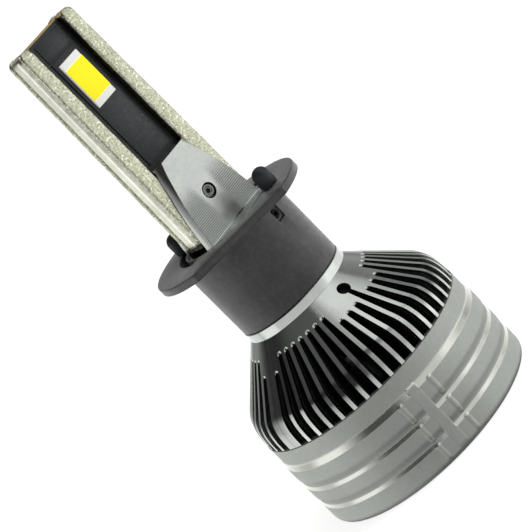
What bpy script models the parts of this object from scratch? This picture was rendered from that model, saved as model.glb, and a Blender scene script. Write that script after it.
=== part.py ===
"""Headlight bulb: an LED lamp on a round pre-focus flange, standing on its rear rim with the tip up.

Metres in the scene, millimetres in the dimensions below. The Z axis is the bulb's own axis and the
front LED faces -Y. The collar is drawn turned on the neck, as it is set in use.
"""
import math

import bmesh
import bpy
from mathutils import Matrix, Vector

MM = 0.001
GAP = 0.05                      # clearance between neighbouring pieces
SIDES = 64                      # sides of the large turned pieces
SMALL_SIDES = 20                # sides of the small turned pieces

# rear shell
SHELL_R = 16.4
SHELL_IN_R = 15.3
SHELL_TOP = 13.2
GROOVE_Z = (9.8, 6.2, 2.92)  # lower edge of each groove
GROOVE_DEPTH = 0.2
GROOVE_H = 1.4
RAMP_H = 0.6                  # the steep lower part of a groove
UPPER_STEP = 0.28             # how far the band above the first groove is set back

# heat sink
SKIRT_R = SHELL_IN_R - 0.1
SKIRT_Z = 10.0
CAVITY_R = 12.2
CAVITY_SHOULDER_Z = 15.0
CAVITY_TOP_R = 6.5
CAVITY_TOP_Z = 21.0
SHOULDER_R = 15.3
SHOULDER_Z = 17.15
RIM_R = 16.05
NECK_RING_R = 8.05
NECK_RING_Z = 24.6
NECK_RING_TOP = 25.9
NECK_R = 6.25
FLANGE_FRONT = 37.85            # the seating face that sets the light centre
NECK_TOP = FLANGE_FRONT - 0.05
NOSE_R = 6.15
NOSE_TOP_R = 3.68
NOSE_H = 11.55
FLAT_N = 2.95                   # distance of the flat plate from the axis
SPLIT = 0.03                    # half the gap between the two halves
FIN_COUNT = 50
FIN_TURN = 1.2                   # degrees that the fins and the seam sit past the LED plane
FIN_T = 0.56
LONG_SLOT_Z = 22.9
SHORT_SLOT_Z = 21.4
SLOT_FOOT_Z = 12.2
KEYHOLE_R = 0.85
KEYHOLE_Z = 23.0

# LED arm
ARM_TIP = 70.8
ARM_FOOT = 25.2
TRAY_IN_W = 3.35
TRAY_WALL_W = 4.0
TRAY_FLOOR = 0.35
LIP_LOW = 1.25
LIP_TOP = 1.9
LIP_W_TIP = 5.3
LIP_W_FOOT = 5.8
LIP_FOOT_Z = 38.2
BOARD_W = 3.3
BOARD_LOW = 0.4
BOARD_TOP = 0.8
LIGHT_CENTRE = FLANGE_FRONT + 25.0
CHIP_L = 7.0
CHIP_W = 3.5
CHIP_TOP = 1.35
PHOSPHOR_L = 5.0
PHOSPHOR_TOP = 1.47
SCREW_Z = FLANGE_FRONT + 4.8
SCREW_R = 1.0

# collar
COLLAR_R = 8.0
COLLAR_BORE_R = NECK_R + 0.1
COLLAR_FOOT = NECK_RING_TOP + GAP
FLANGE_R = 11.65
FLANGE_T = 1.1
FLANGE_FLAT = 8.8
COLLAR_TURN = -30.0             # degrees from the LED's front to the flange's flat
SET_SCREW_ANGLE = 41.0          # degrees from the flat
SET_SCREW_Z = 35.3
SET_SCREW_R = 0.62
POCKET_SPAN = (58, 128)         # degrees from the flat, on both sides
POCKET_R = 7.2
POCKET_W = 1.05
STUD_R = 1.3
STUD_H = 3.0
STUD_PEG_R = 0.42
STUDS = (("collar_stud_left", -131, 7.6), ("collar_stud_right", 57, 8.5))  # angle from the flat, radius

# fan
FAN_REAR = 2.35
FAN_FRONT = 9.5
DUCT_R = 11.2
BLADE_R = 10.8
HUB_R = 6.0
HUB_LOW = 2.7
HUB_TOP = 8.0
SHAFT_R = 0.75
TUBE_R = 2.2
BASE_LOW = 8.7
BLADES = 9

# driver and rear grille
DRIVER_R = 9.0
DRIVER_LOW = 11.0
DRIVER_TOP = 11.8
GRILLE_LOW = 0.9
GRILLE_TOP = 2.3
FASTENER_R = 13.2               # radius where the screws and the cable outlet sit

PARTS = None
CUTTERS = None


def clear_scene():
    for obj in list(bpy.data.objects):
        bpy.data.objects.remove(obj, do_unlink=True)
    for coll in list(bpy.data.collections):
        bpy.data.collections.remove(coll)


def make_collections():
    global PARTS, CUTTERS
    PARTS = bpy.data.collections.new("headlight_bulb")
    CUTTERS = bpy.data.collections.new("cutters")
    bpy.context.scene.collection.children.link(PARTS)
    bpy.context.scene.collection.children.link(CUTTERS)


def finish(name, colour, metallic, roughness):
    """Gives the named object its own material."""
    mat = bpy.data.materials.new(name)
    mat.use_nodes = True
    shader = mat.node_tree.nodes["Principled BSDF"]
    shader.inputs["Base Color"].default_value = (*colour, 1.0)
    shader.inputs["Metallic"].default_value = metallic
    shader.inputs["Roughness"].default_value = roughness
    bpy.data.objects[name].data.materials.clear()
    bpy.data.objects[name].data.materials.append(mat)


def add(name, mesh, cutter=False):
    obj = bpy.data.objects.new(name, mesh)
    (CUTTERS if cutter else PARTS).objects.link(obj)
    if cutter:
        obj.hide_render = True
        obj.display_type = "WIRE"
    return obj


def mesh_from(name, verts, faces, edges=()):
    mesh = bpy.data.meshes.new(name)
    mesh.from_pydata([tuple(c * MM for c in v) for v in verts], list(edges), faces)
    mesh.update()
    return mesh


def mesh_from_bmesh(name, bm):
    bmesh.ops.recalc_face_normals(bm, faces=bm.faces)
    mesh = bpy.data.meshes.new(name)
    bm.to_mesh(mesh)
    bm.free()
    return mesh


def lathe(name, profile, sides=SIDES, ring=False, cutter=False):
    """Turns a profile of (radius, height) points, listed down its outer side, about Z."""
    verts = [(r, 0.0, z) for r, z in profile]
    edges = [(i, i + 1) for i in range(len(verts) - 1)]
    if ring:
        edges.append((len(verts) - 1, 0))
    obj = add(name, mesh_from(name, verts, [], edges), cutter)
    screw = obj.modifiers.new("turn", "SCREW")
    screw.axis = "Z"
    screw.steps = sides
    screw.render_steps = sides
    screw.use_merge_vertices = True
    screw.merge_threshold = 0.000001
    return obj


def loft(name, outlines, cutter=False):
    """Joins outlines of equal length, each a list of (x, y, z), and caps both ends."""
    bm = bmesh.new()
    rows = [[bm.verts.new(Vector(p) * MM) for p in line] for line in outlines]
    count = len(rows[0])
    for low, high in zip(rows, rows[1:]):
        for i in range(count):
            j = (i + 1) % count
            bm.faces.new((low[i], low[j], high[j], high[i]))
    bm.faces.new(rows[0])
    bm.faces.new(rows[-1])
    return add(name, mesh_from_bmesh(name, bm), cutter)


def prism(name, outline, z0, z1, cutter=False):
    return loft(name, [[(x, y, z0) for x, y in outline], [(x, y, z1) for x, y in outline]], cutter)


def box(name, xs, ys, zs, cutter=False):
    outline = [(xs[0], ys[0]), (xs[1], ys[0]), (xs[1], ys[1]), (xs[0], ys[1])]
    return prism(name, outline, zs[0], zs[1], cutter)


def circle(radius, sides=SMALL_SIDES, centre=(0.0, 0.0)):
    step = 2 * math.pi / sides
    return [(centre[0] + radius * math.cos(i * step), centre[1] + radius * math.sin(i * step))
            for i in range(sides)]


def rod(name, radius, start, end, sides=SMALL_SIDES, cutter=False):
    """A cylinder between two points."""
    start, end = Vector(start), Vector(end)
    turn = Vector((0, 0, 1)).rotation_difference(end - start)
    ends = [[at + turn @ Vector((x, y, 0)) for x, y in circle(radius, sides)] for at in (start, end)]
    return loft(name, ends, cutter)


def around(angle, radius, height=0.0):
    """The point at an angle, in degrees, measured about Z from the LED's front at -Y."""
    turn = math.radians(angle)
    return (radius * math.sin(turn), -radius * math.cos(turn), height)


def cut(obj, cutter, operation="DIFFERENCE"):
    mod = obj.modifiers.new(cutter.name, "BOOLEAN")
    mod.operation = operation
    mod.solver = "EXACT"
    mod.object = cutter


def join_meshes(name, objects, cutter=True):
    """Puts separate closed bodies in one object and removes the originals."""
    bm = bmesh.new()
    for obj in objects:
        bm.from_mesh(obj.data)
        bpy.data.objects.remove(obj, do_unlink=True)
    return add(name, mesh_from_bmesh(name, bm), cutter)


def turned_copy(source, name, degrees):
    """A copy of the finished shape, turned about Z."""
    bpy.context.view_layer.update()
    depsgraph = bpy.context.evaluated_depsgraph_get()
    mesh = bpy.data.meshes.new_from_object(source.evaluated_get(depsgraph))
    mesh.transform(Matrix.Rotation(math.radians(degrees), 4, "Z"))
    return add(name, mesh)


def cone_r(z):
    """Radius of the heat sink's cone at a height."""
    run = (SHOULDER_R - NECK_RING_R) / (NECK_RING_Z - SHOULDER_Z)
    return NECK_RING_R + (NECK_RING_Z - z) * run


def rear_shell():
    upper_r = SHELL_R - UPPER_STEP
    profile = [(upper_r, SHELL_TOP), (upper_r, GROOVE_Z[0] + 1.0), (SHELL_R, GROOVE_Z[0])]
    for z in GROOVE_Z[1:]:
        profile += [(SHELL_R, z + GROOVE_H), (SHELL_R - GROOVE_DEPTH, z + RAMP_H), (SHELL_R, z)]
    profile += [(SHELL_R, 0.7), (SHELL_R - 0.15, 0.25), (SHELL_R - 0.5, 0.0)]
    profile += [(SHELL_IN_R + 0.15, 0.0), (SHELL_IN_R, 0.15), (SHELL_IN_R, SHELL_TOP)]
    lathe("rear_shell", profile, ring=True)
    finish("rear_shell", (0.55, 0.57, 0.55), 0.9, 0.38)


def slot_cutter(name, angle, start_z, depth, foot_r):
    """A wedge that leaves fins of constant thickness on both sides of a slot."""
    fall = Vector((SHOULDER_R - NECK_RING_R, SHOULDER_Z - NECK_RING_Z)).normalized()
    out = Vector((-fall.y, fall.x))
    start = Vector((cone_r(start_z), start_z))
    outline = [start + out, start - depth * out, (foot_r, CAVITY_SHOULDER_Z), (foot_r, SLOT_FOOT_Z),
               (17.5, SLOT_FOOT_Z), (17.5, 19.0)]
    tangent = math.tan(math.pi / FIN_COUNT)
    turn = Matrix.Rotation(math.radians(angle), 3, "Z")
    sides = []
    for side in (-1, 1):
        row = [Vector((side * (r * tangent - FIN_T / 2), -r, z)) for r, z in outline]
        sides.append([turn @ v for v in row])
    return loft(name, sides, cutter=True)


def slots():
    cutters = []
    pitch = 360 / FIN_COUNT
    for k in range(-11, 13):
        short = k in (-11, -3, -2, -1, 1, 2, 3, 12)
        start = SHORT_SLOT_Z if short else LONG_SLOT_Z
        depth = 2.6 if short else 3.0
        cutters.append(slot_cutter(f"slot_{k}", (k - 0.5) * pitch + FIN_TURN, start, depth, 11.5 if short else 11.0))
    return join_meshes("slots", cutters)


def nose_profile():
    """The rounded nose above the flange, from its top to its foot."""
    points = [(1.0, NOSE_TOP_R), (0.735, 4.51), (0.51, 5.2), (0.285, 5.65), (0.0, NOSE_R)]
    return [(r, NECK_TOP + 0.05 + t * NOSE_H) for t, r in points]


def heatsink_channel():
    """The room for the trays, the boards and the heat pipes."""
    slot_w = TRAY_WALL_W + 0.1
    top = FLANGE_FRONT + NOSE_H + 2
    tongue_w = TRAY_IN_W - 0.09
    tongue_n = BOARD_TOP + GAP
    lip_n = LIP_TOP + GAP
    pieces = [
        box("channel_neck", (-slot_w, slot_w), (-1.0, 5.0), (CAVITY_TOP_Z - 1, NECK_TOP + 0.2), True),
        box("channel_left", (-9.0, -tongue_w), (-lip_n, 5.0), (NECK_TOP, top), True),
        box("channel_right", (tongue_w, 9.0), (-lip_n, 5.0), (NECK_TOP, top), True),
        box("channel_floor", (-tongue_w - 1, tongue_w + 1), (-tongue_n, 5.0), (NECK_TOP + 0.1, top), True),
    ]
    return pieces


def heatsink_front():
    outer = [(0.0, nose_profile()[0][1])] + nose_profile()
    outer += [(NECK_R, NECK_TOP), (NECK_R, NECK_RING_TOP), (NECK_RING_R, NECK_RING_TOP)]
    outer += [(NECK_RING_R, NECK_RING_Z), (SHOULDER_R, SHOULDER_Z), (15.78, 15.9), (16.0, 14.4)]
    outer += [(RIM_R, 13.25), (SKIRT_R, 13.25), (SKIRT_R, SKIRT_Z)]
    inner = [(CAVITY_R, SKIRT_Z), (CAVITY_R, CAVITY_SHOULDER_Z), (CAVITY_TOP_R, CAVITY_TOP_Z)]
    inner += [(0.0, CAVITY_TOP_Z)]
    body = lathe("heatsink_front", outer + inner)
    cut(body, slots())
    angle = FIN_TURN - 180 / FIN_COUNT
    centre = Vector(around(angle, cone_r(KEYHOLE_Z), KEYHOLE_Z))
    keyhole = Vector(around(angle, 1, 1)).normalized()
    cut(body, rod("keyhole", KEYHOLE_R, centre - 2.0 * keyhole, centre + 2 * keyhole, 20, True))
    cut(body, o_ring_groove())
    for piece in heatsink_channel():
        cut(body, piece)
    cut(body, box("plate_flat", (-9, 9), (-12, -FLAT_N), (FLANGE_FRONT, 60), True))
    cut(body, rod("screw_hole", SCREW_R + GAP, (0, -6, SCREW_Z), (0, -1.2, SCREW_Z), 20, True))
    other_half = box("other_half", (-20, 20), (-SPLIT, 20), (5, 60), True)
    other_half.data.transform(Matrix.Rotation(math.radians(FIN_TURN), 4, "Z"))
    cut(body, other_half)
    finish("heatsink_front", (0.62, 0.64, 0.62), 1.0, 0.3)
    turned_copy(body, "heatsink_rear", 180)
    finish("heatsink_rear", (0.62, 0.64, 0.62), 1.0, 0.3)


def o_ring_groove():
    z = 31.0
    ring = [(NECK_R + 1, z + 0.5), (NECK_R + 1, z - 0.5), (NECK_R - 0.5, z - 0.5), (NECK_R - 0.5, z + 0.5)]
    return lathe("o_ring_groove", ring, ring=True, cutter=True)


def collar_o_ring():
    mid_r = NECK_R - 0.04
    ring = [(mid_r + 0.4 * math.cos(a), 31.0 - 0.4 * math.sin(a))
            for a in [math.pi * (i + 0.5) / 4 for i in range(-4, 4)]]
    ring = [(min(r, NECK_R + 0.05), z) for r, z in ring]
    lathe("collar_o_ring", ring, 24, ring=True)
    finish("collar_o_ring", (0.03, 0.03, 0.03), 0.0, 0.7)


def tray_outline(lip_w):
    """Half a hat section and its mirror image: floor, two walls and two lips."""
    right = [(0.0, -SPLIT), (TRAY_WALL_W, -SPLIT), (TRAY_WALL_W, -LIP_LOW), (lip_w, -LIP_LOW)]
    right += [(lip_w, -LIP_TOP + 0.25), (lip_w - 0.3, -LIP_TOP), (TRAY_IN_W, -LIP_TOP)]
    right += [(TRAY_IN_W, -TRAY_FLOOR)]
    left = [(-x, y) for x, y in reversed(right[1:])]
    return right + left


def core_trays():
    foot = [(x, y, LIP_FOOT_Z) for x, y in tray_outline(LIP_W_FOOT)]
    tip = [(x, y, ARM_TIP) for x, y in tray_outline(LIP_W_TIP)]
    tray = loft("core_tray_front", [foot, tip])
    tail_n = TRAY_FLOOR
    tail = box("tray_tail", (-TRAY_WALL_W, TRAY_WALL_W), (-tail_n, -SPLIT), (ARM_FOOT, LIP_FOOT_Z + 1), True)
    cut(tray, tail, "UNION")
    finish("core_tray_front", (0.78, 0.74, 0.58), 1.0, 0.4)
    turned_copy(tray, "core_tray_rear", 180)
    finish("core_tray_rear", (0.78, 0.74, 0.58), 1.0, 0.4)


def heat_pipes():
    """Flattened pipes held between the lips of the two trays."""
    low_n = LIP_LOW - GAP
    for name, side in (("heat_pipe_left", -1), ("heat_pipe_right", 1)):
        lines = []
        for z, inset in ((LIP_FOOT_Z, 0.45), (LIP_FOOT_Z + 0.5, 0.0), (ARM_TIP - 0.7, 0.0), (ARM_TIP - 0.2, 0.45)):
            lean = (ARM_TIP - z) / (ARM_TIP - LIP_FOOT_Z)
            out_w = LIP_W_TIP + 0.1 + lean * (LIP_W_FOOT - LIP_W_TIP) - inset
            in_w = TRAY_WALL_W + GAP + 0.5 * inset
            n = low_n - 0.8 * inset
            bow = 0.35
            row = [(in_w, -n), (out_w - 0.6, -n), (out_w - 0.12, -n + bow), (out_w, 0.0)]
            row += [(out_w - 0.12, n - bow), (out_w - 0.6, n), (in_w, n)]
            lines.append([(side * x, y, z) for x, y in row])
        loft(name, lines)
        finish(name, (0.85, 0.82, 0.68), 1.0, 0.3)


def led_boards():
    board = box("led_board_front", (-BOARD_W, BOARD_W), (-BOARD_TOP, -BOARD_LOW), (ARM_FOOT, ARM_TIP - 0.3))
    finish("led_board_front", (0.015, 0.018, 0.02), 0.0, 0.35)
    turned_copy(board, "led_board_rear", 180)
    finish("led_board_rear", (0.015, 0.018, 0.02), 0.0, 0.35)


def led_chips():
    half_w, half_l = CHIP_W / 2, CHIP_L / 2
    zs = (LIGHT_CENTRE - half_l, LIGHT_CENTRE + half_l)
    chip = box("led_chip_front", (-half_w, half_w), (-CHIP_TOP, -BOARD_TOP - 0.03), zs)
    finish("led_chip_front", (0.9, 0.9, 0.88), 0.0, 0.5)
    turned_copy(chip, "led_chip_rear", 180)
    finish("led_chip_rear", (0.9, 0.9, 0.88), 0.0, 0.5)
    half_w, half_l = CHIP_W / 2 - 0.04, PHOSPHOR_L / 2
    zs = (LIGHT_CENTRE - half_l, LIGHT_CENTRE + half_l)
    pad = box("led_phosphor_front", (-half_w, half_w), (-PHOSPHOR_TOP, -CHIP_TOP - 0.03), zs)
    finish("led_phosphor_front", (0.95, 0.85, 0.05), 0.0, 0.6)
    turned_copy(pad, "led_phosphor_rear", 180)
    finish("led_phosphor_rear", (0.95, 0.85, 0.05), 0.0, 0.6)


def led_cables():
    top = ARM_FOOT - 0.1
    for name, side in (("led_cable_front", -1), ("led_cable_rear", 1)):
        rod(name, 0.38, (-side * 1.6, side * 0.5, DRIVER_TOP + GAP), (-side * 1.6, side * 0.5, top), 12)
        finish(name, (0.5, 0.02, 0.02), 0.0, 0.5)


def clamp_screws():
    """A short socket screw that presses each tray into its half."""
    head = rod("clamp_screw_front", SCREW_R, (0, -FLAT_N + 0.15, SCREW_Z), (0, -1.35, SCREW_Z))
    cut(head, rod("socket", 0.38, (0, -FLAT_N - 1, SCREW_Z), (0, -FLAT_N + 0.75, SCREW_Z), 6, True))
    finish("clamp_screw_front", (0.25, 0.26, 0.26), 1.0, 0.35)
    turned_copy(head, "clamp_screw_rear", 180)
    finish("clamp_screw_rear", (0.25, 0.26, 0.26), 1.0, 0.35)


def stud_pocket(name, side):
    """A curved pocket in the flange's front face."""
    first, last = POCKET_SPAN
    arc = [COLLAR_TURN + side * (first + (last - first) * i / 8) for i in range(9)]
    outline = [around(a, POCKET_R + POCKET_W / 2)[:2] for a in arc]
    outline += [around(a, POCKET_R - POCKET_W / 2)[:2] for a in reversed(arc)]
    return prism(name, outline, FLANGE_FRONT - 2.0, FLANGE_FRONT + 1, True)


def mount_collar():
    profile = [(FLANGE_R - 0.1, FLANGE_FRONT), (FLANGE_R, FLANGE_FRONT - 0.1)]
    profile += [(FLANGE_R, FLANGE_FRONT - FLANGE_T + 0.1), (FLANGE_R - 0.1, FLANGE_FRONT - FLANGE_T)]
    profile += [(COLLAR_R, FLANGE_FRONT - FLANGE_T), (COLLAR_R, COLLAR_FOOT + 0.1)]
    profile += [(COLLAR_R - 0.1, COLLAR_FOOT), (COLLAR_BORE_R, COLLAR_FOOT), (COLLAR_BORE_R, FLANGE_FRONT)]
    collar = lathe("mount_collar", profile, ring=True)
    flat = box("flange_flat", (-15, 15), (-15, -FLANGE_FLAT), (36, 39), True)
    flat.data.transform(Matrix.Rotation(math.radians(COLLAR_TURN), 4, "Z"))
    cut(collar, flat)
    for name, side in (("pocket_left", -1), ("pocket_right", 1)):
        cut(collar, stud_pocket(name, side))
    for name, angle, radius in STUDS:
        ends = [around(COLLAR_TURN + angle, radius, FLANGE_FRONT + z) for z in (-3, 1)]
        cut(collar, rod(f"{name}_hole", STUD_PEG_R + GAP, *ends, 16, True))
    angle = COLLAR_TURN + SET_SCREW_ANGLE
    start = around(angle, 5, SET_SCREW_Z)
    end = around(angle, 10, SET_SCREW_Z)
    cut(collar, rod("set_screw_hole", SET_SCREW_R + GAP, start, end, 20, True))
    finish("mount_collar", (0.12, 0.13, 0.125), 0.9, 0.42)


def collar_set_screw():
    angle = COLLAR_TURN + SET_SCREW_ANGLE
    screw = rod("collar_set_screw", SET_SCREW_R, around(angle, NECK_R + 0.15, SET_SCREW_Z),
                around(angle, COLLAR_R - 0.3, SET_SCREW_Z), 20)
    cut(screw, rod("set_screw_socket", 0.3, around(angle, COLLAR_R - 0.9, SET_SCREW_Z),
                   around(angle, COLLAR_R + 1, SET_SCREW_Z), 6, True))
    finish("collar_set_screw", (0.05, 0.05, 0.05), 0.9, 0.4)


def swept(name, spine, radii, sides=14):
    """A round body along a spine of points, with a rounded far end."""
    rows = []
    for i, (at, radius) in enumerate(zip(spine, radii)):
        ahead = Vector(spine[min(i + 1, len(spine) - 1)]) - Vector(spine[max(i - 1, 0)])
        turn = Vector((0, 0, 1)).rotation_difference(ahead)
        rows.append([Vector(at) + turn @ Vector((x, y, 0)) for x, y in circle(radius, sides)])
    return loft(name, rows)


def collar_studs():
    """Rubber bumpers with round heads, each held by a peg through the flange."""
    for name, angle, radius in STUDS:
        heights = (-1.0, 0.05, 0.12, 0.4, STUD_H - STUD_R, STUD_H - 0.6, STUD_H - 0.18, STUD_H)
        radii = (STUD_PEG_R, STUD_PEG_R, 1.0, STUD_R, STUD_R, 1.06, 0.65, 0.15)
        spine = [around(COLLAR_TURN + angle, radius, FLANGE_FRONT + z) for z in heights]
        swept(name, spine, radii, 16)
        finish(name, (0.02, 0.022, 0.026), 0.0, 0.55)


def fan_frame():
    ring = [(SHELL_IN_R - 0.1, FAN_FRONT), (SHELL_IN_R - 0.1, FAN_REAR), (DUCT_R, FAN_REAR), (DUCT_R, FAN_FRONT)]
    frame = lathe("fan_frame", ring, ring=True)
    hub = [(0, FAN_FRONT), (5.2, FAN_FRONT), (5.2, BASE_LOW), (TUBE_R, BASE_LOW), (TUBE_R, 4.3)]
    hub += [(TUBE_R - 0.6, 4.3), (TUBE_R - 0.6, BASE_LOW), (0, BASE_LOW)]
    cut(frame, spokes(), "UNION")
    cut(frame, lathe("fan_base", hub, 36, cutter=True), "UNION")
    cut(frame, fastener_holes("fan_screw_holes", 0.65, FAN_REAR - 1, FAN_REAR + 3.2))
    cut(frame, rod("cable_duct", 1.3, around(180, FASTENER_R, 0), around(180, FASTENER_R, 12), 20, True))
    finish("fan_frame", (0.02, 0.02, 0.02), 0.0, 0.5)


def spokes():
    """Three arms that carry the motor, each with a post for the driver board."""
    arms = []
    for i in range(3):
        arm = box(f"spoke_{i}", (-0.7, 0.7), (-DUCT_R - 0.6, -4.6), (BASE_LOW + 0.1, FAN_FRONT - 0.1), True)
        post = rod(f"post_{i}", 0.6, (0, -7.8, BASE_LOW + 0.3), (0, -7.8, DRIVER_LOW - GAP), 12, True)
        cut(arm, post, "UNION")
        turned = turned_copy(arm, f"arm_{i}", 60 + 120 * i)
        arms.append(turned)
    return join_meshes("spokes", arms)


def fastener_holes(name, radius, z0, z1):
    holes = [rod(f"{name}_{a}", radius, around(a, FASTENER_R, z0), around(a, FASTENER_R, z1), 14, True)
             for a in (0, 90, 270)]
    return join_meshes(name, holes)


def blade(index):
    """A twisted blade that reaches from inside the hub's wall to its tip."""
    rows = []
    for step in range(3):
        r = HUB_R - 0.25 + (BLADE_R - HUB_R + 0.25) * step / 2
        sweep = math.radians(360 / BLADES * (index + 0.12 * step))
        reach = math.radians(15 + 1.5 * step)
        row = []
        for side, t in ((1, -1), (1, 0), (1, 1), (-1, 1), (-1, 0), (-1, -1)):
            a = sweep + t * reach
            z = 5.4 + t * 2.2 + side * 0.28 + 0.35 * (1 - abs(t))
            row.append((r * math.cos(a), r * math.sin(a), z))
        rows.append(row)
    return loft(f"blade_{index}", rows, True)


def fan_rotor():
    cup = [(0.8, HUB_LOW), (0.8, HUB_LOW + 0.8), (HUB_R - 0.5, HUB_LOW + 0.8), (HUB_R - 0.5, HUB_TOP)]
    cup += [(HUB_R, HUB_TOP), (HUB_R, HUB_LOW + 0.3), (HUB_R - 0.3, HUB_LOW)]
    rotor = lathe("fan_rotor", cup, 45, ring=True)
    cut(rotor, join_meshes("blades", [blade(i) for i in range(BLADES)]), "UNION")
    finish("fan_rotor", (0.025, 0.025, 0.025), 0.0, 0.4)


def ring_piece(name, outer, inner, z0, z1, colour, metallic, roughness, sides=SMALL_SIDES):
    lathe(name, [(outer, z1), (outer, z0), (inner, z0), (inner, z1)], sides, ring=True)
    finish(name, colour, metallic, roughness)


def fan_motor():
    ring_piece("fan_magnet", HUB_R - 0.55, 4.85, HUB_LOW + 0.9, 7.8, (0.08, 0.08, 0.08), 0.3, 0.6, 36)
    rod("fan_shaft", SHAFT_R, (0, 0, HUB_LOW + GAP), (0, 0, BASE_LOW - 0.1), 16)
    finish("fan_shaft", (0.7, 0.7, 0.72), 1.0, 0.2)
    ring_piece("fan_bearing", TUBE_R - 0.65, SHAFT_R + GAP, 4.4, 8.4, (0.6, 0.42, 0.2), 1.0, 0.35)
    ring_piece("fan_circuit_board", 5.2, TUBE_R + 0.1, 8.05, 8.45, (0.02, 0.18, 0.06), 0.0, 0.4, 36)
    stator_core()
    for i in range(4):
        fan_coil(i)


def stator_core():
    core = lathe("fan_stator_core", [(2.9, 7.2), (2.9, 5.0), (TUBE_R + GAP, 5.0), (TUBE_R + GAP, 7.2)], 24, ring=True)
    teeth = []
    for i in range(4):
        half = math.radians(32)
        shoe = [(4.75 * math.cos(half * t), 4.75 * math.sin(half * t)) for t in (-1, -0.5, 0, 0.5, 1)]
        outline = [(2.6, 0.45), (2.6, -0.45), (4.15, -0.45), (4.15 * math.cos(half), -4.15 * math.sin(half))]
        outline += shoe + [(4.15 * math.cos(half), 4.15 * math.sin(half)), (4.15, 0.45)]
        tooth = prism(f"tooth_{i}", outline, 5.1, 7.1, True)
        tooth.data.transform(Matrix.Rotation(math.pi / 2 * i, 4, "Z"))
        teeth.append(tooth)
    cut(core, join_meshes("teeth", teeth), "UNION")
    finish("fan_stator_core", (0.45, 0.45, 0.46), 1.0, 0.45)


def fan_coil(index):
    name = f"fan_coil_{index + 1}"
    coil = box(name, (2.98, 3.5), (-1.05, 1.05), (4.6, 7.6))
    hole = box(f"{name}_hole", (2.0, 4.5), (-0.5, 0.5), (5.05, 7.15), True)
    for piece in (coil, hole):
        piece.data.transform(Matrix.Rotation(math.pi / 2 * index, 4, "Z"))
    cut(coil, hole)
    finish(name, (0.7, 0.3, 0.12), 1.0, 0.35)


def driver():
    rod("driver_board", DRIVER_R, (0, 0, DRIVER_LOW), (0, 0, DRIVER_TOP), 48)
    finish("driver_board", (0.01, 0.12, 0.04), 0.0, 0.4)
    top = DRIVER_TOP + GAP
    inductor = lathe("driver_inductor", [(2.4, top + 2.6), (2.6, top + 2.4), (2.6, top + 0.2), (2.4, top),
                                         (1.2, top), (1.2, top + 2.6)], 24, ring=True)
    shift(inductor, -4.6, -2.6)
    finish("driver_inductor", (0.1, 0.1, 0.1), 0.2, 0.6)
    rod("driver_capacitor", 1.9, (4.4, 3.4, top), (4.4, 3.4, top + 4.4), 20)
    finish("driver_capacitor", (0.55, 0.56, 0.58), 1.0, 0.3)
    box("driver_chip", (2.4, 6.4), (-4.8, -0.8), (top, top + 1.1))
    finish("driver_chip", (0.02, 0.02, 0.02), 0.0, 0.45)
    box("driver_diode", (-5.0, -1.8), (3.2, 5.2), (top, top + 1.2))
    finish("driver_diode", (0.03, 0.03, 0.03), 0.0, 0.45)


def shift(obj, x, y):
    """Moves a turned piece off the Z axis once its shape is fixed."""
    mesh = evaluated_mesh(obj)
    mesh.transform(Matrix.Translation((x * MM, y * MM, 0)))
    obj.modifiers.clear()
    obj.data = mesh


def evaluated_mesh(obj):
    bpy.context.view_layer.update()
    depsgraph = bpy.context.evaluated_depsgraph_get()
    return bpy.data.meshes.new_from_object(obj.evaluated_get(depsgraph))


def sector(name, inner, outer, start, end):
    """A curved opening in the grille."""
    count = 6
    arc = [start + (end - start) * i / count for i in range(count + 1)]
    outline = [around(a, outer)[:2] for a in arc] + [around(a, inner)[:2] for a in reversed(arc)]
    return prism(name, outline, GRILLE_LOW - 1, GRILLE_TOP + 1, True)


def rear_grille():
    grille = rod("rear_grille", SHELL_IN_R - 0.1, (0, 0, GRILLE_LOW), (0, 0, GRILLE_TOP), SIDES)
    openings = []
    for i in range(8):
        start = 45 * i + 22.5
        openings.append(sector(f"inner_{i}", 4.2, 7.4, start + 7, start + 38))
        openings.append(sector(f"outer_{i}", 8.4, 11.4, start + 5, start + 40))
    cut(grille, join_meshes("grille_openings", openings))
    cut(grille, fastener_holes("grille_screw_holes", 0.65, 0, 4))
    cut(grille, rod("outlet_hole", 1.65, around(180, FASTENER_R, 0), around(180, FASTENER_R, 4), 20, True))
    finish("rear_grille", (0.02, 0.02, 0.02), 0.0, 0.5)


def grille_screws():
    for i, angle in enumerate((0, 90, 270)):
        name = f"grille_screw_{i + 1}"
        head = rod(name, 1.15, around(angle, FASTENER_R, 0.3), around(angle, FASTENER_R, GRILLE_LOW - 0.04), 16)
        shank = rod(f"{name}_shank", 0.6, around(angle, FASTENER_R, 0.6), around(angle, FASTENER_R, 5.2), 12, True)
        socket = rod(f"{name}_socket", 0.5, around(angle, FASTENER_R, 0), around(angle, FASTENER_R, 0.65), 6, True)
        cut(head, shank, "UNION")
        cut(head, socket)
        finish(name, (0.35, 0.35, 0.36), 1.0, 0.3)


def cable_gland():
    """The grommet where the supply cable leaves; the cable itself is not part of the model."""
    profile = [(1.2, 3.4), (1.2, GRILLE_TOP), (1.6, GRILLE_TOP - 0.1), (1.6, GRILLE_LOW - 0.04)]
    profile += [(1.95, GRILLE_LOW - 0.04), (1.95, 0.3), (1.75, 0.1), (0.85, 0.1), (0.85, 3.4)]
    gland = lathe("cable_gland", profile, 16, ring=True)
    x, y, _ = around(180, FASTENER_R)
    shift(gland, x, y)
    finish("cable_gland", (0.02, 0.02, 0.02), 0.0, 0.7)


def build():
    clear_scene()
    make_collections()
    rear_shell()
    heatsink_front()
    clamp_screws()
    core_trays()
    heat_pipes()
    led_boards()
    led_chips()
    led_cables()
    mount_collar()
    collar_set_screw()
    collar_studs()
    collar_o_ring()
    fan_frame()
    fan_rotor()
    fan_motor()
    driver()
    rear_grille()
    grille_screws()
    cable_gland()


build()
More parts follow.
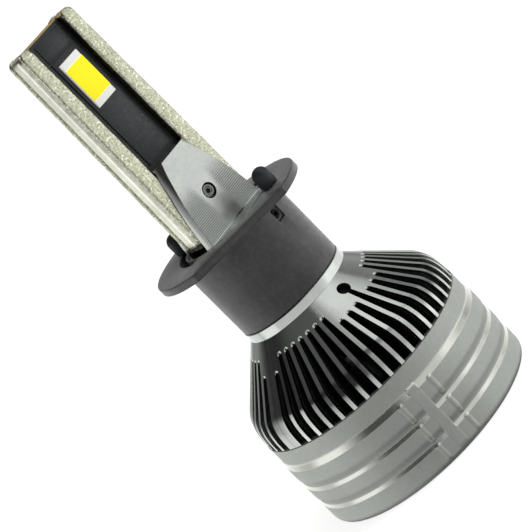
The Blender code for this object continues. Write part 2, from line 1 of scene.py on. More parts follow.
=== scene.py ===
"""Looks of the LED headlight bulb: detailed meshes, procedural materials and a studio.

Lengths in the piece-making code are millimetres; MM turns them into the scene's metres.
The bulb stands on its rear rim with its tip along +Z, and its front LED faces -Y.
"""
import math

import bmesh
import bpy
from mathutils import Matrix, Vector, noise


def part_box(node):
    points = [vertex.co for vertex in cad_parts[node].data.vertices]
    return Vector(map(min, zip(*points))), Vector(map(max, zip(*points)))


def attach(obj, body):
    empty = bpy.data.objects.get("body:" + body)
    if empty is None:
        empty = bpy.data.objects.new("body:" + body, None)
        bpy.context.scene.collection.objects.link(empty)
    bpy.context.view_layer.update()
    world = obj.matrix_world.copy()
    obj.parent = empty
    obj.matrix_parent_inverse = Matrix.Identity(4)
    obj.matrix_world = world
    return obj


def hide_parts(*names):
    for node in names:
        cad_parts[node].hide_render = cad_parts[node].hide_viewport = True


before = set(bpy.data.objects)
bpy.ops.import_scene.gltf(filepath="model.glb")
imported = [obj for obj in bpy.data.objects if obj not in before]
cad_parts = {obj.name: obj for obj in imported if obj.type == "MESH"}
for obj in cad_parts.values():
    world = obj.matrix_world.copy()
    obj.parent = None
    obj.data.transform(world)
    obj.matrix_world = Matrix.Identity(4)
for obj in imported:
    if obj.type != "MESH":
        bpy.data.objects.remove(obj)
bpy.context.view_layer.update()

MM = 0.001


def low(node):
    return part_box(node)[0] / MM


def high(node):
    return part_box(node)[1] / MM


# Heights and radii read from the frame.
SHELL_R = high("rear_shell").x
SHELL_TOP = high("rear_shell").z
FLANGE_FRONT = high("mount_collar").z
COLLAR_FOOT = low("mount_collar").z
ARM_TIP = high("core_tray_front").z
LIP_W_FOOT = high("core_tray_front").x
LIP_TOP = -low("core_tray_front").y
PIPE_FOOT = low("heat_pipe_right").z
BOARD_TOP = -low("led_board_front").y
BOARD_TIP = high("led_board_front").z
CHIP_LOW, CHIP_HIGH = low("led_chip_front"), high("led_chip_front")
PHOSPHOR_LOW, PHOSPHOR_HIGH = low("led_phosphor_front"), high("led_phosphor_front")
SKIRT_Z = low("heatsink_front").z
NOSE_TIP = high("heatsink_front").z
SCREW_Z = (low("clamp_screw_front").z + high("clamp_screw_front").z) / 2

# Rear shell, as in the CAD. Angles are in degrees about Z, measured from the front.
SHELL_IN_R = 15.3
GROOVE_FEET = (9.8, 6.2, 2.92)
UPPER_STEP = 0.28           # the band above the first groove is set back by a ramp
STEP_H = 1.05
DISH_H = 1.7                # a lower groove: a long shallow fall, then a short ramp out again
RAMP_H = 0.55
DISH_DEPTH = 0.15
RELIEF_TURNS = (-26.0, 154.0)   # middle of each column that crosses the grooves
COLUMN_HALF = 2.4
COLUMN_RISE = 0.05
RIB_TURN = 9.0              # the ribs stand this far to each side of a column
RIB_HALF = 1.35
RIB_RISE = 0.13
RIM_FOOT = 13.1             # the rounded rim starts here

# Heat sink, as (radius, height) points.
SHOULDER = (15.3, 17.15)
SKIRT_OUTLINE = ((15.85, 15.75), (16.02, 14.4), (16.05, 13.25))
NECK_RING_R, NECK_RING_FOOT, NECK_RING_TOP = 8.05, 24.6, 25.9
NECK_R = 6.25
NOSE_OUTLINE = ((0.87, 4.13), (0.735, 4.53), (0.62, 4.88), (0.51, 5.2), (0.4, 5.45), (0.285, 5.68),
                (0.14, 5.93))       # share of the nose's height, and its radius there
NOSE_TIP_R = 3.68
FLAT_N = 2.95               # the plate's face lies this far in front of the axis
SEAM_GAP = 0.03
FIN_COUNT = 50
FIN_TURN = 1.2
FIN_T = 0.56
SLOTS = range(-11, 13)      # the slots of the front half, counted from its middle
SHORT_SLOTS = (-11, -3, -2, -1, 1, 2, 3, 12)
KEYHOLE_SLOT = 0
KEYHOLE_Z = 23.15
KEYHOLE_R = 0.9

# Arm
TRAY_IN_W = 3.35
TRAY_WALL_W = 4.0
LIP_W_TIP = 5.3
PAD_HALF_W = 2.3

# Collar
COLLAR_R = 8.0
COLLAR_BORE_R = 6.35
FLANGE_R = 11.65
FLANGE_T = 1.1
FLANGE_FLAT = 8.8
COLLAR_TURN = -30.0
POCKET_R = 7.2
POCKET_HALF_W = 0.525
SET_SCREW_TURN = COLLAR_TURN + 41
SET_SCREW_Z = 35.3
PEG_R = 0.42
PEG_HOLE_R = 0.47
STUD_H = 3.0


# ---------------------------------------------------------------- mesh helpers
def fillet(points, radii, steps=5, closed=False):
    """Rounds the corners of a polyline. radii maps a corner's index to its radius."""
    out = []
    count = len(points)
    for i, p in enumerate(points):
        radius = radii.get(i, 0) if isinstance(radii, dict) else radii
        if not radius or (not closed and i in (0, count - 1)):
            out.append(tuple(p))
            continue
        here = Vector(p)
        back = (Vector(points[i - 1]) - here).normalized()
        ahead = (Vector(points[(i + 1) % count]) - here).normalized()
        half = back.angle(ahead) / 2
        reach = radius / math.tan(half)
        centre = here + (back + ahead).normalized() * (radius / math.sin(half))
        first, last = here + back * reach - centre, here + ahead * reach - centre
        for k in range(steps + 1):
            t = k / steps
            arm = first.lerp(last, t).normalized() * radius
            out.append(tuple(centre + arm))
    return out


def new_object(name, bm, smooth_angle=35.0):
    bmesh.ops.remove_doubles(bm, verts=bm.verts, dist=1e-7)
    bmesh.ops.recalc_face_normals(bm, faces=bm.faces)
    mesh = bpy.data.meshes.new(name)
    bm.to_mesh(mesh)
    bm.free()
    obj = bpy.data.objects.new(name, mesh)
    bpy.context.scene.collection.objects.link(obj)
    smooth(obj, smooth_angle)
    return obj


def smooth(obj, angle):
    obj.data.polygons.foreach_set("use_smooth", [True] * len(obj.data.polygons))
    obj.data.set_sharp_from_angle(angle=math.radians(angle))


def grid_faces(bm, rows, wrap_rows=False):
    """Faces between rows of vertices, each row a closed loop."""
    count = len(rows[0])
    pairs = list(zip(rows, rows[1:]))
    if wrap_rows:
        pairs.append((rows[-1], rows[0]))
    for a, b in pairs:
        for i in range(count):
            j = (i + 1) % count
            quad = []
            for v in (a[i], a[j], b[j], b[i]):
                if v not in quad:
                    quad.append(v)
            if len(quad) > 2:
                bm.faces.new(quad)


def revolve(name, profile, sides=160, ring=False, angle=35.0):
    """Turns (radius, height) points about Z into a closed body."""
    bm = bmesh.new()
    rows = []
    for r, z in profile:
        if r < 1e-6:
            rows.append([bm.verts.new((0, 0, z * MM))] * sides)
            continue
        step = 2 * math.pi / sides
        rows.append([bm.verts.new((r * MM * math.cos(i * step), r * MM * math.sin(i * step), z * MM))
                     for i in range(sides)])
    grid_faces(bm, rows, ring)
    return new_object(name, bm, angle)


def loft(name, lines, angle=35.0):
    """A closed body through loops of (x, y, z) points, capped at both ends."""
    bm = bmesh.new()
    rows = [[bm.verts.new(Vector(p) * MM) for p in line] for line in lines]
    grid_faces(bm, rows)
    bm.faces.new(rows[0])
    bm.faces.new(rows[-1])
    return new_object(name, bm, angle)


def prism(name, outline, z0, z1, angle=35.0):
    return loft(name, [[(x, y, z) for x, y in outline] for z in (z0, z1)], angle)


def block(name, lo, hi):
    outline = [(lo[0], lo[1]), (hi[0], lo[1]), (hi[0], hi[1]), (lo[0], hi[1])]
    return prism(name, outline, lo[2], hi[2])


def rod(name, radius, start, end, sides=32):
    """A cylinder between two points."""
    start, end = Vector(start), Vector(end)
    turn = Vector((0, 0, 1)).rotation_difference(end - start)
    step = 2 * math.pi / sides
    ring = [Vector((radius * math.cos(i * step), radius * math.sin(i * step), 0)) for i in range(sides)]
    return loft(name, [[at + turn @ v for v in ring] for at in (start, end)])


def ball(name, radius, centre):
    bm = bmesh.new()
    bmesh.ops.create_icosphere(bm, subdivisions=3, radius=radius * MM)
    bmesh.ops.translate(bm, verts=bm.verts, vec=Vector(centre) * MM)
    return new_object(name, bm)


def around(degrees, radius, height=0.0):
    """The point at an angle about Z, measured from the front at -Y."""
    a = math.radians(degrees)
    return (radius * math.sin(a), -radius * math.cos(a), height)


def turn_z(obj, degrees):
    """Turns a piece that is still at the origin."""
    obj.data.transform(Matrix.Rotation(math.radians(degrees), 4, "Z"))
    return obj


def evaluated_mesh(obj):
    """The mesh as its modifiers leave it."""
    bpy.context.view_layer.update()
    depsgraph = bpy.context.evaluated_depsgraph_get()
    return bpy.data.meshes.new_from_object(obj.evaluated_get(depsgraph))


def carve(obj, cutters, operation="DIFFERENCE"):
    """Cuts (or joins) separate bodies into obj in one step and removes them."""
    tool = merge(cutters)
    mod = obj.modifiers.new("carve", "BOOLEAN")
    mod.operation = operation
    mod.solver = "EXACT"
    mod.object = tool
    mesh = evaluated_mesh(obj)
    obj.modifiers.clear()
    obj.data = mesh
    bpy.data.objects.remove(tool, do_unlink=True)
    return obj


def merge(objects):
    """One object that holds the meshes of all of these."""
    objects = list(objects)
    bm = bmesh.new()
    for obj in objects:
        bm.from_mesh(obj.data)
    name = objects[0].name
    for obj in objects:
        bpy.data.objects.remove(obj, do_unlink=True)
    mesh = bpy.data.meshes.new(name)
    bm.to_mesh(mesh)
    bm.free()
    out = bpy.data.objects.new(name, mesh)
    bpy.context.scene.collection.objects.link(out)
    return out


def soften(obj, width, segments=2, limit=35.0, smooth_angle=40.0):
    """Breaks the sharp edges with a small bevel and keeps flat faces flat."""
    bevel = obj.modifiers.new("edges", "BEVEL")
    bevel.width = width * MM
    bevel.segments = segments
    bevel.limit_method = "ANGLE"
    bevel.angle_limit = math.radians(limit)
    bevel.harden_normals = False
    mesh = evaluated_mesh(obj)
    obj.modifiers.clear()
    obj.data = mesh
    smooth(obj, smooth_angle)
    return obj


def half_turn_copy(obj, name):
    """The same piece on the bulb's other side."""
    mesh = obj.data.copy()
    mesh.transform(Matrix.Rotation(math.pi, 4, "Z"))
    copy = bpy.data.objects.new(name, mesh)
    bpy.context.scene.collection.objects.link(copy)
    return copy


def stand_for(obj, material, body, *nodes):
    """Finishes a piece: its material, its body and the CAD nodes it shows."""
    if not obj.data.materials:
        obj.data.materials.append(material)
    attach(obj, body)
    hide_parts(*nodes)
    return obj


# ---------------------------------------------------------------- material helpers
class Finish:
    """A Principled material whose colour, roughness and relief come from procedural nodes."""

    def __init__(self, name, colour, metallic=0.0, roughness=0.5):
        self.mat = bpy.data.materials.new(name)
        self.mat.use_nodes = True
        self.tree = self.mat.node_tree
        self.shader = self.tree.nodes["Principled BSDF"]
        self.shader.inputs["Metallic"].default_value = metallic
        self.shader.inputs["Roughness"].default_value = roughness
        self.shader.inputs["Base Color"].default_value = (*colour, 1)
        self.colour = self.rgb(colour)
        self.place = self.add("ShaderNodeTexCoord").outputs["Object"]
        self.height = None

    def add(self, kind, **values):
        node = self.tree.nodes.new(kind)
        for key, value in values.items():
            setattr(node, key, value)
        return node

    def wire(self, value, socket):
        if hasattr(value, "is_output"):
            self.tree.links.new(value, socket)
        else:
            socket.default_value = value

    def rgb(self, colour):
        node = self.add("ShaderNodeRGB")
        node.outputs[0].default_value = (*colour, 1)
        return node.outputs[0]

    def math(self, operation, a, b=0.0, clamp=False):
        node = self.add("ShaderNodeMath", operation=operation, use_clamp=clamp)
        self.wire(a, node.inputs[0])
        self.wire(b, node.inputs[1])
        return node.outputs[0]

    def axes(self):
        node = self.add("ShaderNodeSeparateXYZ")
        self.wire(self.place, node.inputs[0])
        return node.outputs

    def tilt(self):
        """How far the surface faces up (1) or down (-1) on the standing bulb."""
        node = self.add("ShaderNodeSeparateXYZ")
        self.wire(self.add("ShaderNodeTexCoord").outputs["Normal"], node.inputs[0])
        return node.outputs[2]

    def radius(self):
        x, y, _ = self.axes()
        return self.math("SQRT", self.math("ADD", self.math("MULTIPLY", x, x), self.math("MULTIPLY", y, y)))

    def stretched(self, scale):
        node = self.add("ShaderNodeVectorMath", operation="MULTIPLY")
        self.wire(self.place, node.inputs[0])
        node.inputs[1].default_value = scale
        return node.outputs[0]

    def noise(self, size, detail=4.0, rough=0.6, vector=None):
        """Noise with features about size millimetres across."""
        node = self.add("ShaderNodeTexNoise")
        self.wire(vector or self.place, node.inputs["Vector"])
        node.inputs["Scale"].default_value = 1 / (size * MM)
        node.inputs["Detail"].default_value = detail
        node.inputs["Roughness"].default_value = rough
        return node.outputs["Fac"]

    def cells(self, size):
        node = self.add("ShaderNodeTexVoronoi")
        self.wire(self.place, node.inputs["Vector"])
        node.inputs["Scale"].default_value = 1 / (size * MM)
        return node.outputs["Distance"]

    def lines(self, size, driver, detail=3.0):
        """Fine lines that vary only along the driver."""
        node = self.add("ShaderNodeTexNoise", noise_dimensions="1D")
        self.wire(driver, node.inputs["W"])
        node.inputs["Scale"].default_value = 1 / (size * MM)
        node.inputs["Detail"].default_value = detail
        return node.outputs["Fac"]

    def ribs(self, size, driver):
        """Even fine ribs along the driver."""
        return self.math("SINE", self.math("MULTIPLY", driver, 2 * math.pi / (size * MM)))

    def span(self, value, a, b, c=0.0, d=1.0, soft=False):
        node = self.add("ShaderNodeMapRange", interpolation_type="SMOOTHSTEP" if soft else "LINEAR")
        self.wire(value, node.inputs[0])
        for i, v in enumerate((a, b, c, d)):
            node.inputs[i + 1].default_value = v
        return node.outputs[0]

    def blend(self, factor, a, b, mode="MIX"):
        node = self.add("ShaderNodeMix", data_type="RGBA", blend_type=mode)
        self.wire(factor, node.inputs[0])
        self.wire(a if hasattr(a, "is_output") else (*a, 1), node.inputs[6])
        self.wire(b if hasattr(b, "is_output") else (*b, 1), node.inputs[7])
        return node.outputs[2]

    def tint(self, factor, colour):
        self.colour = self.blend(factor, self.colour, colour)
        return self

    def relief(self, height, strength, depth):
        node = self.add("ShaderNodeBump")
        node.inputs["Strength"].default_value = strength
        node.inputs["Distance"].default_value = depth * MM
        self.wire(height, node.inputs["Height"])
        if self.height is not None:
            self.wire(self.height, node.inputs["Normal"])
        self.height = node.outputs[0]
        return self

    def rough(self, value):
        self.wire(value, self.shader.inputs["Roughness"])
        return self

    def done(self):
        self.wire(self.colour, self.shader.inputs["Base Color"])
        if self.height is not None:
            self.wire(self.height, self.shader.inputs["Normal"])
        return self.mat


def satin_shell():
    """Satin blasted aluminium, turned bright where the wall slopes up beside a groove."""
    f = Finish("satin_shell", (0.50, 0.525, 0.49), 0.85, 0.5)
    f.tint(f.span(f.noise(3.0, 3), 0.35, 0.7, 0, 0.5), (0.45, 0.475, 0.44))
    f.tint(f.span(f.noise(0.3, 2, 0.8), 0.35, 0.75, 0, 0.5), (0.40, 0.42, 0.385))
    f.relief(f.noise(0.14, 2, 0.7), 0.6, 0.02)
    f.relief(f.cells(0.22), 0.15, 0.01)
    below_rim = f.span(f.axes()[2], RIM_FOOT * MM, (RIM_FOOT - 0.2) * MM)
    turned = f.math("MULTIPLY", f.span(f.tilt(), 0.1, 0.24, soft=True), below_rim)
    f.tint(turned, (0.74, 0.76, 0.69))
    satin = f.span(f.noise(0.25, 3), 0.3, 0.7, 0.42, 0.56)
    f.rough(f.math("SUBTRACT", satin, f.math("MULTIPLY", turned, 0.34)))
    return f.done()


def depth_below(f, outline, top):
    """How deep a point lies under a turned outline of (height, radius) points, both at most top."""
    stops = f.add("ShaderNodeValToRGB")
    ramp = stops.color_ramp
    ramp.elements[0].position = outline[0][0] / top
    ramp.elements[1].position = outline[-1][0] / top
    for height, _ in outline[1:-1]:
        ramp.elements.new(height / top)
    for element, (_, radius) in zip(ramp.elements, outline):
        element.color = (radius / top,) * 3 + (1,)
    f.wire(f.math("MULTIPLY", f.axes()[2], 1 / (top * MM)), stops.inputs[0])
    return f.math("SUBTRACT", f.math("MULTIPLY", stops.outputs[0], top * MM), f.radius())


def slot_painted_shade(f):
    """A mask of painted shade that fades in from the cone's surface down into the slots."""
    outline = [(13.0, 16.05), (14.4, 16.0), (15.9, 15.78), SHOULDER[::-1], (NECK_RING_FOOT, NECK_RING_R)]
    z = f.axes()[2]
    cone = f.math("MULTIPLY", f.span(z, 24.3 * MM, 24.2 * MM), f.span(z, 12 * MM, 12.1 * MM))
    deep = f.span(depth_below(f, outline, 30), 0.2 * MM, 1.0 * MM, soft=True)
    return f.math("MULTIPLY", deep, cone)


def plate_mask(f):
    """The nose's flat plate: in front of the flange and away from the axis."""
    _, y, z = f.axes()
    beside = f.math("GREATER_THAN", f.math("ABSOLUTE", y), (FLAT_N - 0.05) * MM)
    return f.math("MULTIPLY", f.span(z, 37.9 * MM, 38.0 * MM), beside)


def milled_hatch(f, plate):
    """Cross hatching in the plate's two lower corners."""
    x, _, z = f.axes()
    hatch = f.math("ADD", f.ribs(0.26, z), f.math("MULTIPLY", f.ribs(0.3, x), 0.5))
    corners = f.math("MULTIPLY", f.span(z, 46.5 * MM, 42 * MM, soft=True),
                     f.span(f.math("ABSOLUTE", x), 0.9 * MM, 2.2 * MM, soft=True))
    return f.math("MULTIPLY", f.math("MULTIPLY", hatch, plate), corners)


def turned_aluminium():
    """Bright turned aluminium, with painted shade that turns it black where the slots run into the body."""
    f = Finish("turned_aluminium", (0.50, 0.525, 0.50), 1.0, 0.27)
    f.shader.inputs["Anisotropic"].default_value = 0.35
    inside, plate = slot_painted_shade(f), plate_mask(f)
    milled = milled_hatch(f, plate)
    f.tint(f.span(f.noise(2.5, 4), 0.35, 0.75, 0, 0.35), (0.4, 0.42, 0.4))
    # Painted shade: the slots turn near black with depth below the cone's surface.
    f.tint(inside, (0.024, 0.027, 0.027))
    f.tint(f.span(milled, 0.1, 1.2, 0, 0.6), (0.22, 0.23, 0.22))
    tool_marks = f.lines(0.09, f.axes()[2])
    f.relief(f.math("MULTIPLY", tool_marks, f.math("SUBTRACT", 1.0, plate)), 0.25, 0.008)
    f.relief(milled, 0.8, 0.022)
    smoothness = f.span(f.noise(0.6, 3), 0.3, 0.7, 0.12, 0.2)
    roughness = f.math("ADD", smoothness, f.math("MULTIPLY", plate, 0.2))
    f.rough(f.math("ADD", roughness, f.math("MULTIPLY", inside, 0.5), True))
    return f.done()


def plated_rough():
    """Nickel-plated core with a coarse hammered skin."""
    f = Finish("plated_rough", (0.52, 0.53, 0.40), 1.0, 0.3)
    f.tint(f.span(f.noise(0.9, 4, 0.7), 0.42, 0.62, 0, 0.55), (0.38, 0.39, 0.28))
    f.tint(f.span(f.noise(0.24, 3), 0.52, 0.64, 0, 0.7), (0.16, 0.165, 0.11))
    f.tint(f.span(f.noise(0.33, 3, 0.5, f.stretched((1, -1, 1.3))), 0.56, 0.66, 0, 0.8), (0.88, 0.88, 0.74))
    f.rough(f.span(f.noise(0.4, 4), 0.3, 0.7, 0.2, 0.42))
    f.relief(f.noise(0.36, 3, 0.6), 0.6, 0.06)
    f.relief(f.noise(0.12, 2), 0.4, 0.02)
    return f.done()


def plated_smooth():
    """The same plating on the drawn heat pipes, smoother and with faint lengthwise streaks."""
    f = Finish("plated_smooth", (0.84, 0.84, 0.73), 1.0, 0.22)
    f.tint(f.span(f.noise(1.2, 4, 0.6, f.stretched((1, 1, 0.2))), 0.4, 0.7, 0, 0.6), (0.60, 0.60, 0.49))
    f.tint(f.span(f.noise(0.4, 3), 0.6, 0.72, 0, 0.5), (0.34, 0.33, 0.24))
    f.rough(f.span(f.noise(0.5, 3), 0.3, 0.7, 0.18, 0.36))
    f.relief(f.noise(0.5, 3, 0.5, f.stretched((1, 1, 0.15))), 0.35, 0.04)
    return f.done()


def channel_painted_shade():
    """Painted shade: the channel inside the tray is coloured near black for the shade in its recess, with
    bare bronze colour on its cut end at the tip.
    """
    f = Finish("channel_painted_shade", (0.16, 0.15, 0.12), 1.0, 0.34)
    f.tint(f.span(f.noise(0.8, 4), 0.4, 0.65, 0, 0.8), (0.03, 0.03, 0.03))
    f.tint(f.span(f.axes()[2], (ARM_TIP - 0.4) * MM, (ARM_TIP - 0.3) * MM), (0.42, 0.30, 0.13))
    f.relief(f.noise(0.3, 3), 0.4, 0.03)
    return f.done()


def solder_mask(name, colour, other):
    """Glossy lacquer over a circuit board."""
    f = Finish(name, colour, 0.0, 0.32)
    f.tint(f.span(f.noise(1.4, 4), 0.4, 0.7, 0, 0.7), other)
    f.rough(f.span(f.noise(0.5, 4), 0.35, 0.7, 0.26, 0.45))
    f.relief(f.noise(0.7, 3), 0.25, 0.02)
    f.relief(f.noise(0.1, 2), 0.2, 0.006)
    return f.done()


def anodised(name, colour, other):
    """Black anodising, greyed by handling."""
    f = Finish(name, colour, 0.0, 0.36)
    f.shader.inputs["Sheen Weight"].default_value = 0.6
    f.shader.inputs["Sheen Roughness"].default_value = 0.35
    f.shader.inputs["Specular IOR Level"].default_value = 0.75
    f.tint(f.span(f.noise(2.6, 5, 0.65), 0.4, 0.7, 0, 0.8), other)
    f.tint(f.span(f.noise(0.7, 4, 0.7), 0.5, 0.75, 0, 0.6), tuple(c * 1.5 for c in other))
    f.rough(f.span(f.noise(0.5, 4), 0.3, 0.7, 0.28, 0.48))
    f.relief(f.lines(0.13, f.axes()[2]), 0.12, 0.008)
    f.relief(f.noise(0.09, 2, 0.7), 0.3, 0.01)
    return f.done()


def rubber():
    f = Finish("black_rubber", (0.018, 0.02, 0.024), 0.0, 0.5)
    f.tint(f.span(f.noise(0.5, 4), 0.45, 0.7, 0, 0.6), (0.04, 0.043, 0.05))
    f.rough(f.span(f.noise(0.3, 3), 0.3, 0.7, 0.42, 0.62))
    f.relief(f.noise(0.14, 3), 0.3, 0.012)
    return f.done()


def moulded(name, colour):
    """Plain moulded plastic."""
    f = Finish(name, colour, 0.0, 0.45)
    f.tint(f.span(f.noise(2.0, 3), 0.4, 0.7, 0, 0.5), tuple(c * 1.6 + 0.004 for c in colour))
    f.rough(f.span(f.noise(0.8, 3), 0.3, 0.7, 0.38, 0.55))
    f.relief(f.noise(0.25, 3, 0.7), 0.3, 0.015)
    return f.done()


def metal(name, colour, roughness=0.3, grain=0.3):
    f = Finish(name, colour, 1.0, roughness)
    f.tint(f.span(f.noise(1.2, 3), 0.4, 0.7, 0, 0.5), tuple(c * 0.75 for c in colour))
    f.rough(f.span(f.noise(grain, 3), 0.3, 0.7, roughness - 0.06, roughness + 0.12))
    f.relief(f.noise(grain, 2), 0.15, 0.01)
    return f.done()


def ceramic_white_painted_glow():
    f = Finish("ceramic_white_painted_glow", (0.90, 0.91, 0.89), 0.0, 0.4)
    # Painted glow: a weak emission brightens the ceramic package, which gives no light of its own.
    f.shader.inputs["Emission Color"].default_value = (1, 0.99, 0.93, 1)
    f.shader.inputs["Emission Strength"].default_value = 0.3
    f.tint(f.span(f.noise(0.6, 3), 0.45, 0.75, 0, 0.4), (0.74, 0.76, 0.72))
    f.relief(f.noise(0.12, 2), 0.15, 0.006)
    return f.done()


def phosphor():
    f = Finish("yellow_phosphor_painted_glow", (0.93, 0.86, 0.002), 0.0, 0.55)
    f.tint(f.span(f.noise(0.5, 4), 0.42, 0.7, 0, 0.5), (0.98, 0.90, 0.01))
    # Painted glow: a weak emission brightens the phosphor's yellow.
    f.shader.inputs["Emission Color"].default_value = (0.95, 0.84, 0.0, 1)
    f.shader.inputs["Emission Strength"].default_value = 0.5
    f.relief(f.noise(0.1, 3), 0.2, 0.01)
    return f.done()


# ---------------------------------------------------------------- pieces
def eased(t):
    """A smooth step from 0 to 1."""
    t = min(max(t, 0.0), 1.0)
    return t * t * (3 - 2 * t)


def groove_depth(z):
    """How far the turned wall lies inside the full radius: a step, and two dishes with a ramp below."""
    if z > GROOVE_FEET[0]:
        t = (z - GROOVE_FEET[0]) / STEP_H
        straight, slope = 0.75, 1.15
        if t < straight:
            return UPPER_STEP * (slope * t)
        return UPPER_STEP * (0.8625 + 0.1375 * eased((t - straight) / (1 - straight)))
    for foot in GROOVE_FEET[1:]:
        if foot < z <= foot + RAMP_H:
            return DISH_DEPTH * (z - foot) / RAMP_H
        if foot + RAMP_H < z < foot + DISH_H:
            return DISH_DEPTH * (1 - eased((z - foot - RAMP_H) / (DISH_H - RAMP_H)))
    return 0.0


def rib_rise(side, z):
    """Height of a rib at height z; side is 0 on its middle line and 1 at its edge."""
    ends = (GROOVE_FEET[1] + 1.1, GROOVE_FEET[2] + 1.1, 0.8)
    for foot, end_z in zip(GROOVE_FEET, ends):
        if side < 1 and end_z - 0.4 < z <= foot + 0.25:
            rise = min((foot + 0.25 - z) / 0.3, (z - end_z + 0.4) / 0.8, 1)
            return RIB_RISE * math.sqrt(max(rise, 0)) * (1 - side ** 2)
    return 0.0


def shell_radius(degrees, z):
    """Outer radius of the rear shell: grooves, a plain column across them and two upright ribs."""
    near = min(abs((degrees - t + 180) % 360 - 180) for t in RELIEF_TURNS)
    beside = eased((near - COLUMN_HALF) / 0.5 + 0.5)
    depth = groove_depth(z)
    plain = UPPER_STEP * eased((z - GROOVE_FEET[0] - STEP_H + 0.3) / 0.3)
    r = SHELL_R - depth * beside - plain * (1 - beside)
    if z < GROOVE_FEET[0]:
        r += COLUMN_RISE * (1 - beside) * eased((z - 0.5) / 0.6) * eased((GROOVE_FEET[0] - z) / 0.6)
    rise = rib_rise(abs(near - RIB_TURN) / RIB_HALF, z)
    return max(r, SHELL_R - 0.04) + rise if rise > 0.3 * RIB_RISE else r + rise


def shell_heights():
    """Heights of the shell's rings of points, close together round the grooves."""
    zs = [SHELL_TOP - 0.05, SHELL_TOP - 0.2, 12.6, 12.0, 11.5, 1.1, 0.9, 0.7]
    for foot in GROOVE_FEET:
        zs += [foot + 0.08 * k for k in range(1, 21)]
        zs += [foot + 0.03, foot - 0.03, foot - 0.08, foot - 0.14, foot - 0.22, foot - 0.32]
        zs += [foot - 0.6, foot - 1.0, foot - 1.4, foot - 1.8]
    return sorted({round(z, 4) for z in zs if z >= 0.7}, reverse=True)


def shell_turns():
    """Angles of the shell's columns of points, close together round the relief."""
    turns = [360 * i / 240 for i in range(240)]
    for centre in RELIEF_TURNS:
        turns += [(centre + 0.25 * k) % 360 for k in range(-48, 49)]
    turns = sorted(turns)
    return [t for t, after in zip(turns, turns[1:] + [400]) if after - t > 0.12]


def rear_shell(material):
    bm = bmesh.new()
    turns = shell_turns()
    rows = []

    def row(radius_at, z):
        rows.append([bm.verts.new(Vector(around(t, radius_at(t), z)) * MM) for t in turns])

    row(lambda t: SHELL_R - UPPER_STEP - 0.12, SHELL_TOP)
    for z in shell_heights():
        row(lambda t: shell_radius(t, z), z)
    for inset, z in ((0.03, 0.5), (0.1, 0.3), (0.22, 0.12), (0.36, 0.03), (0.5, 0.0)):
        row(lambda t: SHELL_R - inset, z)
    for r, z in ((SHELL_IN_R + 0.15, 0.0), (SHELL_IN_R, 0.15), (SHELL_IN_R, 6.0), (SHELL_IN_R, SHELL_TOP)):
        row(lambda t: r, z)
    grid_faces(bm, rows, True)
    shell = new_object("rear_shell_turned", bm, 50)
    return stand_for(shell, material, "bulb", "rear_shell")


def cone_r(z):
    run = (SHOULDER[0] - NECK_RING_R) / (NECK_RING_FOOT - SHOULDER[1])
    return NECK_RING_R + (NECK_RING_FOOT - z) * run


def slot_half_width(r):
    return r * math.tan(math.pi / FIN_COUNT) - FIN_T / 2


def slot_turn(k):
    return FIN_TURN + (k - 0.5) * 360 / FIN_COUNT


def slot_start(k):
    """Where the slot's wedge starts on the cone, as a (radius, height) point, and the cone's directions."""
    fall = Vector((SHOULDER[0] - NECK_RING_R, SHOULDER[1] - NECK_RING_FOOT)).normalized()
    out = Vector((-fall.y, fall.x))
    start_z = 21.25 if k in SHORT_SLOTS else 22.75
    return Vector((cone_r(start_z), start_z)) + fall * 0.3, fall, out


def slot_wedge(k):
    start, _, out = slot_start(k)
    depth, foot_r = (2.6, 11.5) if k in SHORT_SLOTS else (3.0, 11.0)
    outline = [start + out, start - depth * out, (foot_r, 15.0), (foot_r, 12.2), (17.5, 12.2), (17.5, 19.0)]
    lines = [[(side * slot_half_width(r), -r, z) for r, z in outline] for side in (-1, 1)]
    return turn_z(loft(f"slot_{k}", lines), slot_turn(k))


def slot_cap(k):
    """The half-round upper end of a slot."""
    start, _, out = slot_start(k)
    depth = 2.6 if k in SHORT_SLOTS else 3.0
    ends = [(0, -p[0], p[1]) for p in (start + out, start - 0.9 * depth * out)]
    return turn_z(rod(f"slot_start_{k}", slot_half_width(start.x) * 0.995, *ends, 16), slot_turn(k))


def slot_mouth(k):
    """The small hollow that the cutter leaves at a slot's upper end."""
    start, fall, out = slot_start(k)
    middle = start - 0.3 * fall + 0.26 * out
    return turn_z(ball(f"slot_mouth_{k}", 0.47, (0, -middle.x, middle.y)), slot_turn(k))


def keyhole():
    centre = Vector(around(slot_turn(KEYHOLE_SLOT), cone_r(KEYHOLE_Z), KEYHOLE_Z))
    out = Vector(around(slot_turn(KEYHOLE_SLOT), 1, 1)).normalized()
    return rod("keyhole", KEYHOLE_R, centre - 0.9 * out, centre + 2 * out, 28)


def body_profile():
    """The turned outline from the nose's tip down the outside and back up the inside."""
    neck_top = FLANGE_FRONT - 0.05
    height = NOSE_TIP - neck_top
    points = [(0.0, NOSE_TIP), (NOSE_TIP_R, NOSE_TIP)]
    points += [(r, neck_top + t * height) for t, r in NOSE_OUTLINE]
    points += [(6.15, neck_top), (NECK_R, neck_top), (NECK_R, NECK_RING_TOP), (NECK_RING_R, NECK_RING_TOP)]
    ring_top = len(points) - 1
    points += [(NECK_RING_R, NECK_RING_FOOT), SHOULDER, *SKIRT_OUTLINE]
    points += [(15.2, 13.25), (15.2, SKIRT_Z), (12.2, SKIRT_Z), (12.2, 15.0), (6.5, 21.0), (0.0, 21.0)]
    return fillet(points, {ring_top: 0.12, ring_top + 1: 0.12, ring_top + 2: 3.4, ring_top + 3: 5.0}, 8)


